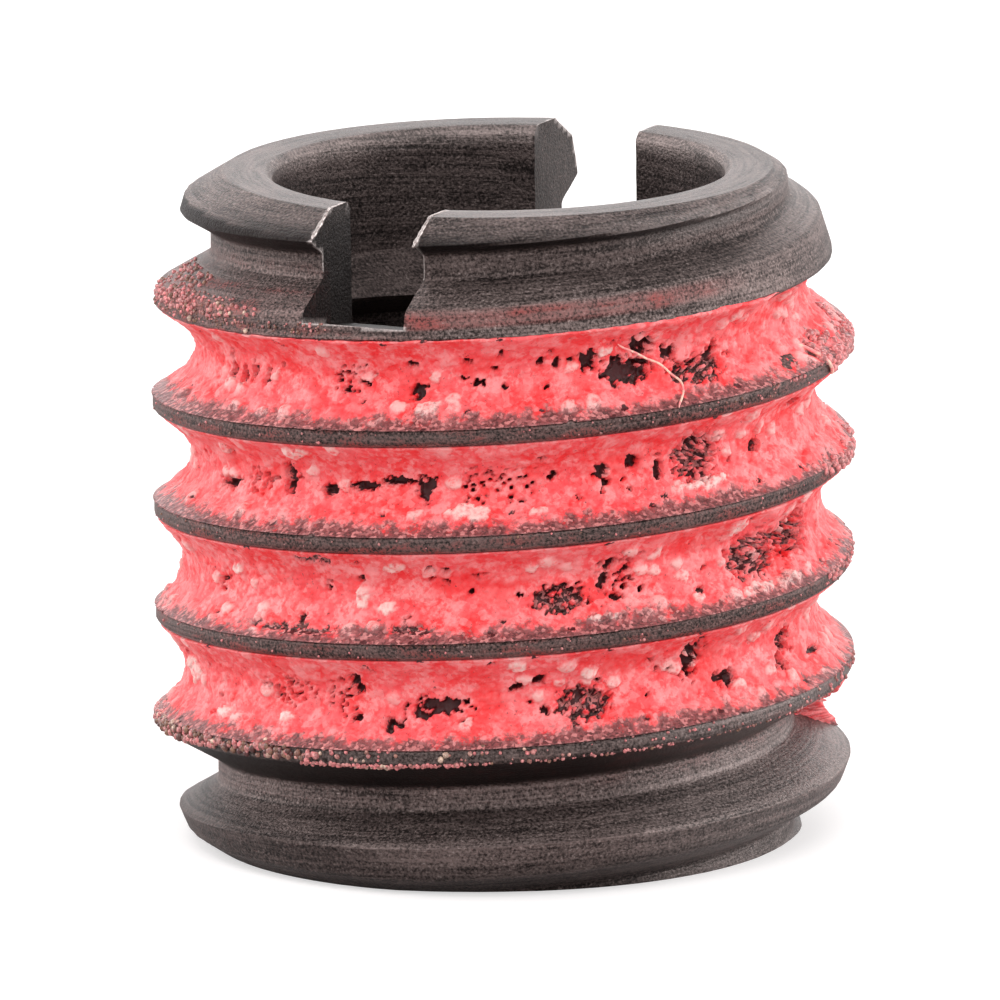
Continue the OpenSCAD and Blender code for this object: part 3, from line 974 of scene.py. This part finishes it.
def turning_group():
    """Lines left by turning: noise that is short across the thread's helix and long around it, on the
    angle, the height less the helix's rise, and the radius."""
    group, given = new_group("turning_lines", ["Lines"], ["Value"])
    place = node(group, "ShaderNodeTexCoord").outputs["Object"]
    x, y, z = node(group, "ShaderNodeSeparateXYZ", {0: place}).outputs
    angle = calc(group, "ARCTAN2", x, times(group, y, -1.0))
    radius = calc(group, "SQRT", plus(group, times(group, x, x), times(group, y, y)))
    rise = calc(group, "SUBTRACT", z, times(group, angle, PITCH * MM / (2 * np.pi)))
    vector = node(group, "ShaderNodeCombineXYZ", {
        0: times(group, angle, 1.6),
        1: times(group, rise, given["Lines"]),
        2: times(group, radius, given["Lines"]),
    })
    node(group, "NodeGroupOutput", {"Value": noise(group, vector.outputs[0], 1.0, 3.0, 0.6)})
    return group


def empty_tree(owner):
    """The node tree of a material or world, with nothing in it yet."""
    owner.use_nodes = True
    owner.node_tree.nodes.clear()
    return owner.node_tree


def new_material(name):
    """An empty material with a Principled shader, and its node tree."""
    material = bpy.data.materials.new(name)
    tree = empty_tree(material)
    shader = node(tree, "ShaderNodeBsdfPrincipled")
    node(tree, "ShaderNodeOutputMaterial", {0: shader.outputs[0]})
    return material, tree, shader


def placed(tree, group, **values):
    """A shared group in a material, with its own values."""
    made = node(tree, "ShaderNodeGroup", node_tree=group)
    plug(tree, made, values)
    return made.outputs


def steel_material(name, grain, turning, milled):
    """Oxidised steel: sandy speckle, lined by turning unless it is milled, darkened by painted shade,
    with adhesive dust and stain, and bright worn places with painted highlights where the masks say."""
    material, tree, shader = new_material(name)
    speck = placed(tree, grain, Size=19000.0)
    lines = placed(tree, turning, Lines=14000.0)["Value"]
    bands = placed(tree, turning, Lines=2600.0)["Value"]
    value = speck["Value"]
    line_share, band_share = (0.06, 0.0) if milled else (0.24, 0.14)
    tone = plus(tree, times(tree, value, 1 - line_share - band_share), times(tree, lines, line_share))
    tone = plus(tree, tone, times(tree, bands, band_share))
    light, glint, painted_shade = (STEEL, STEEL_LIGHT, "slot_painted_shade") if milled else (STEEL_LIGHT, GLINT, "painted_shade")
    colour = mix(tree, spread(tree, tone, 0.39, 0.61), STEEL_DARK, light)
    colour = mix(tree, spread(tree, value, 0.58, 0.72, 0.0, 0.8), colour, glint)
    # Painted shade: the steel darkens to black where the mask says
    colour = mix(tree, mask_of(tree, painted_shade), colour, PAINTED_SHADE_BLACK)
    dust = times(tree, mask_of(tree, "dust"), spread(tree, value, 0.42, 0.56))
    colour = mix(tree, dust, colour, STAIN)
    stain = times(tree, mask_of(tree, "stain"), spread(tree, value, 0.36, 0.58, 0.1, 0.85))
    colour = mix(tree, stain, colour, STAIN)
    # Worn steel and painted highlight, brightened where the corner mask says
    wear_and_highlight = times(tree, mask_of(tree, "corner"), spread(tree, tone, 0.36, 0.58, 0.4, 0.85))
    colour = mix(tree, wear_and_highlight, colour, STEEL_BRIGHT)
    height = plus(tree, times(tree, speck["Height"], 0.8), times(tree, lines, 0.1 if milled else 0.45))
    plug(tree, shader, {
        "Base Color": colour,
        "Metallic": 0.6 if milled else 0.85,
        "Roughness": spread(tree, value, 0.3, 0.7, 0.42, 0.58),
        "Normal": raised(tree, 0.9, 0.00003, height),
    })
    return material


def adhesive_material(grain):
    """Dried adhesive: grains from red over pink to pale, paler on the clots as painted highlight, maroon
    specks, maroon painted shade in the pores and pits, and a dark red film with pale grains that thickens
    towards the lower border."""
    material, tree, shader = new_material("dried_adhesive")
    speck = placed(tree, grain, Size=9000.0)
    sand = placed(tree, grain, Size=17000.0)
    value, fine = speck["Value"], sand["Value"]
    place = node(tree, "ShaderNodeTexCoord").outputs["Object"]
    patch = noise(tree, place, 850.0, 4.0, 0.6)
    bloom = noise(tree, place, 2300.0, 5.0, 0.7)
    rag = calc(tree, "SUBTRACT", fine, 0.5)
    colour = mix(tree, spread(tree, patch, 0.54, 0.40, 0.0, 0.85), PINK, RED)
    colour = mix(tree, spread(tree, bloom, 0.47, 0.62, 0.0, 0.9), colour, PALE)
    colour = mix(tree, spread(tree, speck["Cell"], 0.55, 1.0, 0.0, 0.55), colour, PALE)
    colour = mix(tree, spread(tree, sand["Cell"], 0.40, 0.0, 0.0, 0.60), colour, RED)
    colour = mix(tree, times(tree, mask_of(tree, "red"), 0.8), colour, RED)
    # Paler flakes, and painted highlight on the clots' tops, where the pale mask says
    pale = times(tree, mask_of(tree, "pale"), spread(tree, value, 0.35, 0.60, 0.35, 1.0))
    colour = mix(tree, pale, colour, PALE)
    colour = mix(tree, times(tree, mask_of(tree, "flake"), spread(tree, value, 0.3, 0.6)), colour, CHALK)
    pore = times(tree, spread(tree, fine, 0.40, 0.34), spread(tree, bloom, 0.50, 0.42))
    colour = mix(tree, times(tree, pore, 0.8), colour, MAROON)
    film = mix(tree, spread(tree, fine, 0.42, 0.58), FILM_DARK, FILM)
    film = mix(tree, spread(tree, sand["Cell"], 0.60, 1.0, 0.0, 0.75), film, FILM_LIGHT)
    film_edge = plus(tree, mask_of(tree, "film"), times(tree, rag, 2.0))
    colour = mix(tree, spread(tree, film_edge, 0.12, 0.78), colour, film)
    gritty = times(tree, mask_of(tree, "bare"), spread(tree, sand["Cell"], 0.45, 0.8))
    # Painted shade: hollows darken to maroon, with pale grit in the bare spots
    hollow = mask_of(tree, "hollow")
    hollow_shade = spread(tree, plus(tree, hollow, times(tree, rag, 1.4)), 0.30, 0.62)
    hollow_shade = times(tree, hollow_shade, spread(tree, hollow, 0.0, 0.1))
    colour = mix(tree, hollow_shade, colour, mix(tree, gritty, MAROON, FILM_LIGHT))
    plug(tree, shader, {
        "Base Color": colour,
        "Roughness": spread(tree, value, 0.3, 0.7, 0.36, 0.62),
        "Normal": raised(tree, 0.8, 0.00003, speck["Height"]),
    })
    return material


def bead_material(grain):
    """Glassy crumbs of adhesive: each has its own tone, from dark film over brown and pink to ivory."""
    material, tree, shader = new_material("adhesive_crumbs")
    speck = placed(tree, grain, Size=12000.0)
    tone = mask_of(tree, "tone")
    colour = mix(tree, spread(tree, tone, 0.02, 0.22), FILM_DARK, TAN)
    colour = mix(tree, spread(tree, tone, 0.24, 0.42), colour, FILM_LIGHT)
    colour = mix(tree, spread(tree, tone, 0.46, 0.66), colour, PALE)
    colour = mix(tree, spread(tree, tone, 0.74, 0.92), colour, IVORY)
    plug(tree, shader, {
        "Base Color": mix(tree, spread(tree, speck["Value"], 0.62, 0.42, 0.0, 0.6), colour, FILM_DARK),
        "Roughness": spread(tree, speck["Value"], 0.3, 0.7, 0.18, 0.42),
        "Normal": raised(tree, 0.5, 0.00001, speck["Height"]),
    })
    return material


def fibre_material(grain):
    """A fibre coated with adhesive: ivory, with pinkish patches."""
    material, tree, shader = new_material("coated_fibre")
    tone = spread(tree, placed(tree, grain, Size=9000.0)["Value"], 0.4, 0.6)
    plug(tree, shader, {"Base Color": mix(tree, tone, PALE, IVORY), "Roughness": 0.4})
    return material


def burr_material(grain):
    """Bright bare steel where the saw left a burr."""
    material, tree, shader = new_material("burr_steel")
    tone = spread(tree, placed(tree, grain, Size=12000.0)["Value"], 0.35, 0.6)
    colour = mix(tree, tone, STEEL_LIGHT, STEEL_BRIGHT)
    plug(tree, shader, {"Base Color": colour, "Metallic": 0.8, "Roughness": 0.38})
    return material


# Stage, light and camera

def make_floor():
    """A pale floor that keeps the object's shadow and is white to the camera and in reflections."""
    mesh = bpy.data.meshes.new("floor")
    signs = ((-1, -1), (1, -1), (1, 1), (-1, 1))
    mesh.from_pydata([(x * FLOOR_HALF_WIDTH, y * FLOOR_HALF_WIDTH, 0) for x, y in signs], [], [(0, 1, 2, 3)])
    floor = bpy.data.objects.new("floor", mesh)
    bpy.context.scene.collection.objects.link(floor)
    material = bpy.data.materials.new("pale_floor")
    tree = empty_tree(material)
    matte = node(tree, "ShaderNodeBsdfDiffuse", {"Color": FLOOR_GREY}).outputs[0]
    path = node(tree, "ShaderNodeLightPath").outputs
    strength = plus(tree, times(tree, path["Is Camera Ray"], 0.52), times(tree, path["Is Glossy Ray"], 0.04))
    bright = node(tree, "ShaderNodeEmission", {"Color": WHITE, "Strength": strength}).outputs[0]
    both = node(tree, "ShaderNodeAddShader", {0: matte, 1: bright}).outputs[0]
    seen = calc(tree, "MAXIMUM", path["Is Camera Ray"], path["Is Glossy Ray"])
    surface = node(tree, "ShaderNodeMixShader", {0: seen, 1: matte, 2: both}).outputs[0]
    node(tree, "ShaderNodeOutputMaterial", {0: surface})
    floor.data.materials.append(material)


def make_world():
    """A plain soft surround: white to the camera and in reflections, dimmer as a light."""
    world = bpy.data.worlds.new("studio")
    bpy.context.scene.world = world
    tree = empty_tree(world)
    path = node(tree, "ShaderNodeLightPath").outputs
    seen = calc(tree, "MAXIMUM", path["Is Camera Ray"], path["Is Transmission Ray"])
    seen = calc(tree, "MAXIMUM", seen, path["Is Glossy Ray"])
    white = node(tree, "ShaderNodeBackground", {0: WHITE, 1: 1.0}).outputs[0]
    soft = node(tree, "ShaderNodeBackground", {0: WARM_WHITE, 1: SURROUND_LIGHT}).outputs[0]
    surface = node(tree, "ShaderNodeMixShader", {0: seen, 1: soft, 2: white}).outputs[0]
    node(tree, "ShaderNodeOutputWorld", {0: surface})


def make_lamp(name, azimuth, rise, power):
    """A soft square lamp that looks at the object from that azimuth and rise, in degrees."""
    data = bpy.data.lights.new(name, "AREA")
    data.size = LAMP_SIZE
    data.energy = power
    lamp = bpy.data.objects.new(name, data)
    a, e = np.radians(azimuth), np.radians(rise)
    away = Vector((np.sin(a) * np.cos(e), -np.cos(a) * np.cos(e), np.sin(e)))
    lamp.location = Vector((0, 0, LENGTH * MM / 2)) + away * LAMP_DISTANCE
    lamp.rotation_mode = "QUATERNION"
    lamp.rotation_quaternion = away.to_track_quat("Z", "Y")
    bpy.context.scene.collection.objects.link(lamp)


def make_camera():
    """The photograph's camera: its lens gives the measured pixels for each millimetre at the target."""
    rise, roll = np.radians(CAMERA_RISE), np.radians(CAMERA_ROLL)
    ahead = np.array([0, np.cos(rise), -np.sin(rise)])
    right = np.array([1.0, 0, 0])
    up = np.array([0, np.sin(rise), np.cos(rise)])
    leaned_right = right * np.cos(roll) - up * np.sin(roll)
    leaned_up = right * np.sin(roll) + up * np.cos(roll)
    place = (np.array(CAMERA_TARGET) - CAMERA_DISTANCE * ahead) * MM
    data = bpy.data.cameras.new("camera")
    data.sensor_width = SENSOR_WIDTH
    data.lens = SENSOR_WIDTH * CAMERA_DISTANCE * PIXELS_PER_MM / PICTURE_WIDTH
    data.clip_start = 0.01
    data.clip_end = 20
    camera = bpy.data.objects.new("camera", data)
    turn = Matrix([Vector(v) for v in (leaned_right, leaned_up, -ahead)]).transposed()
    camera.matrix_world = Matrix.Translation(Vector(place)) @ turn.to_4x4()
    bpy.context.scene.collection.objects.link(camera)
    bpy.context.scene.camera = camera


make_camera()
make_floor()
make_world()
for name, (azimuth, rise, power) in LAMPS.items():
    make_lamp(name, azimuth, rise, power)

grain = grain_group()
turning = turning_group()
make_steel([
    steel_material("oxide_steel", grain, turning, False),
    steel_material("milled_steel", grain, turning, True),
])
make_coat(adhesive_material(grain))
make_crumbs(bead_material(grain))
make_fibres(fibre_material(grain))
make_burrs(burr_material(grain))

bpy.context.scene.view_settings.view_transform = "Standard"
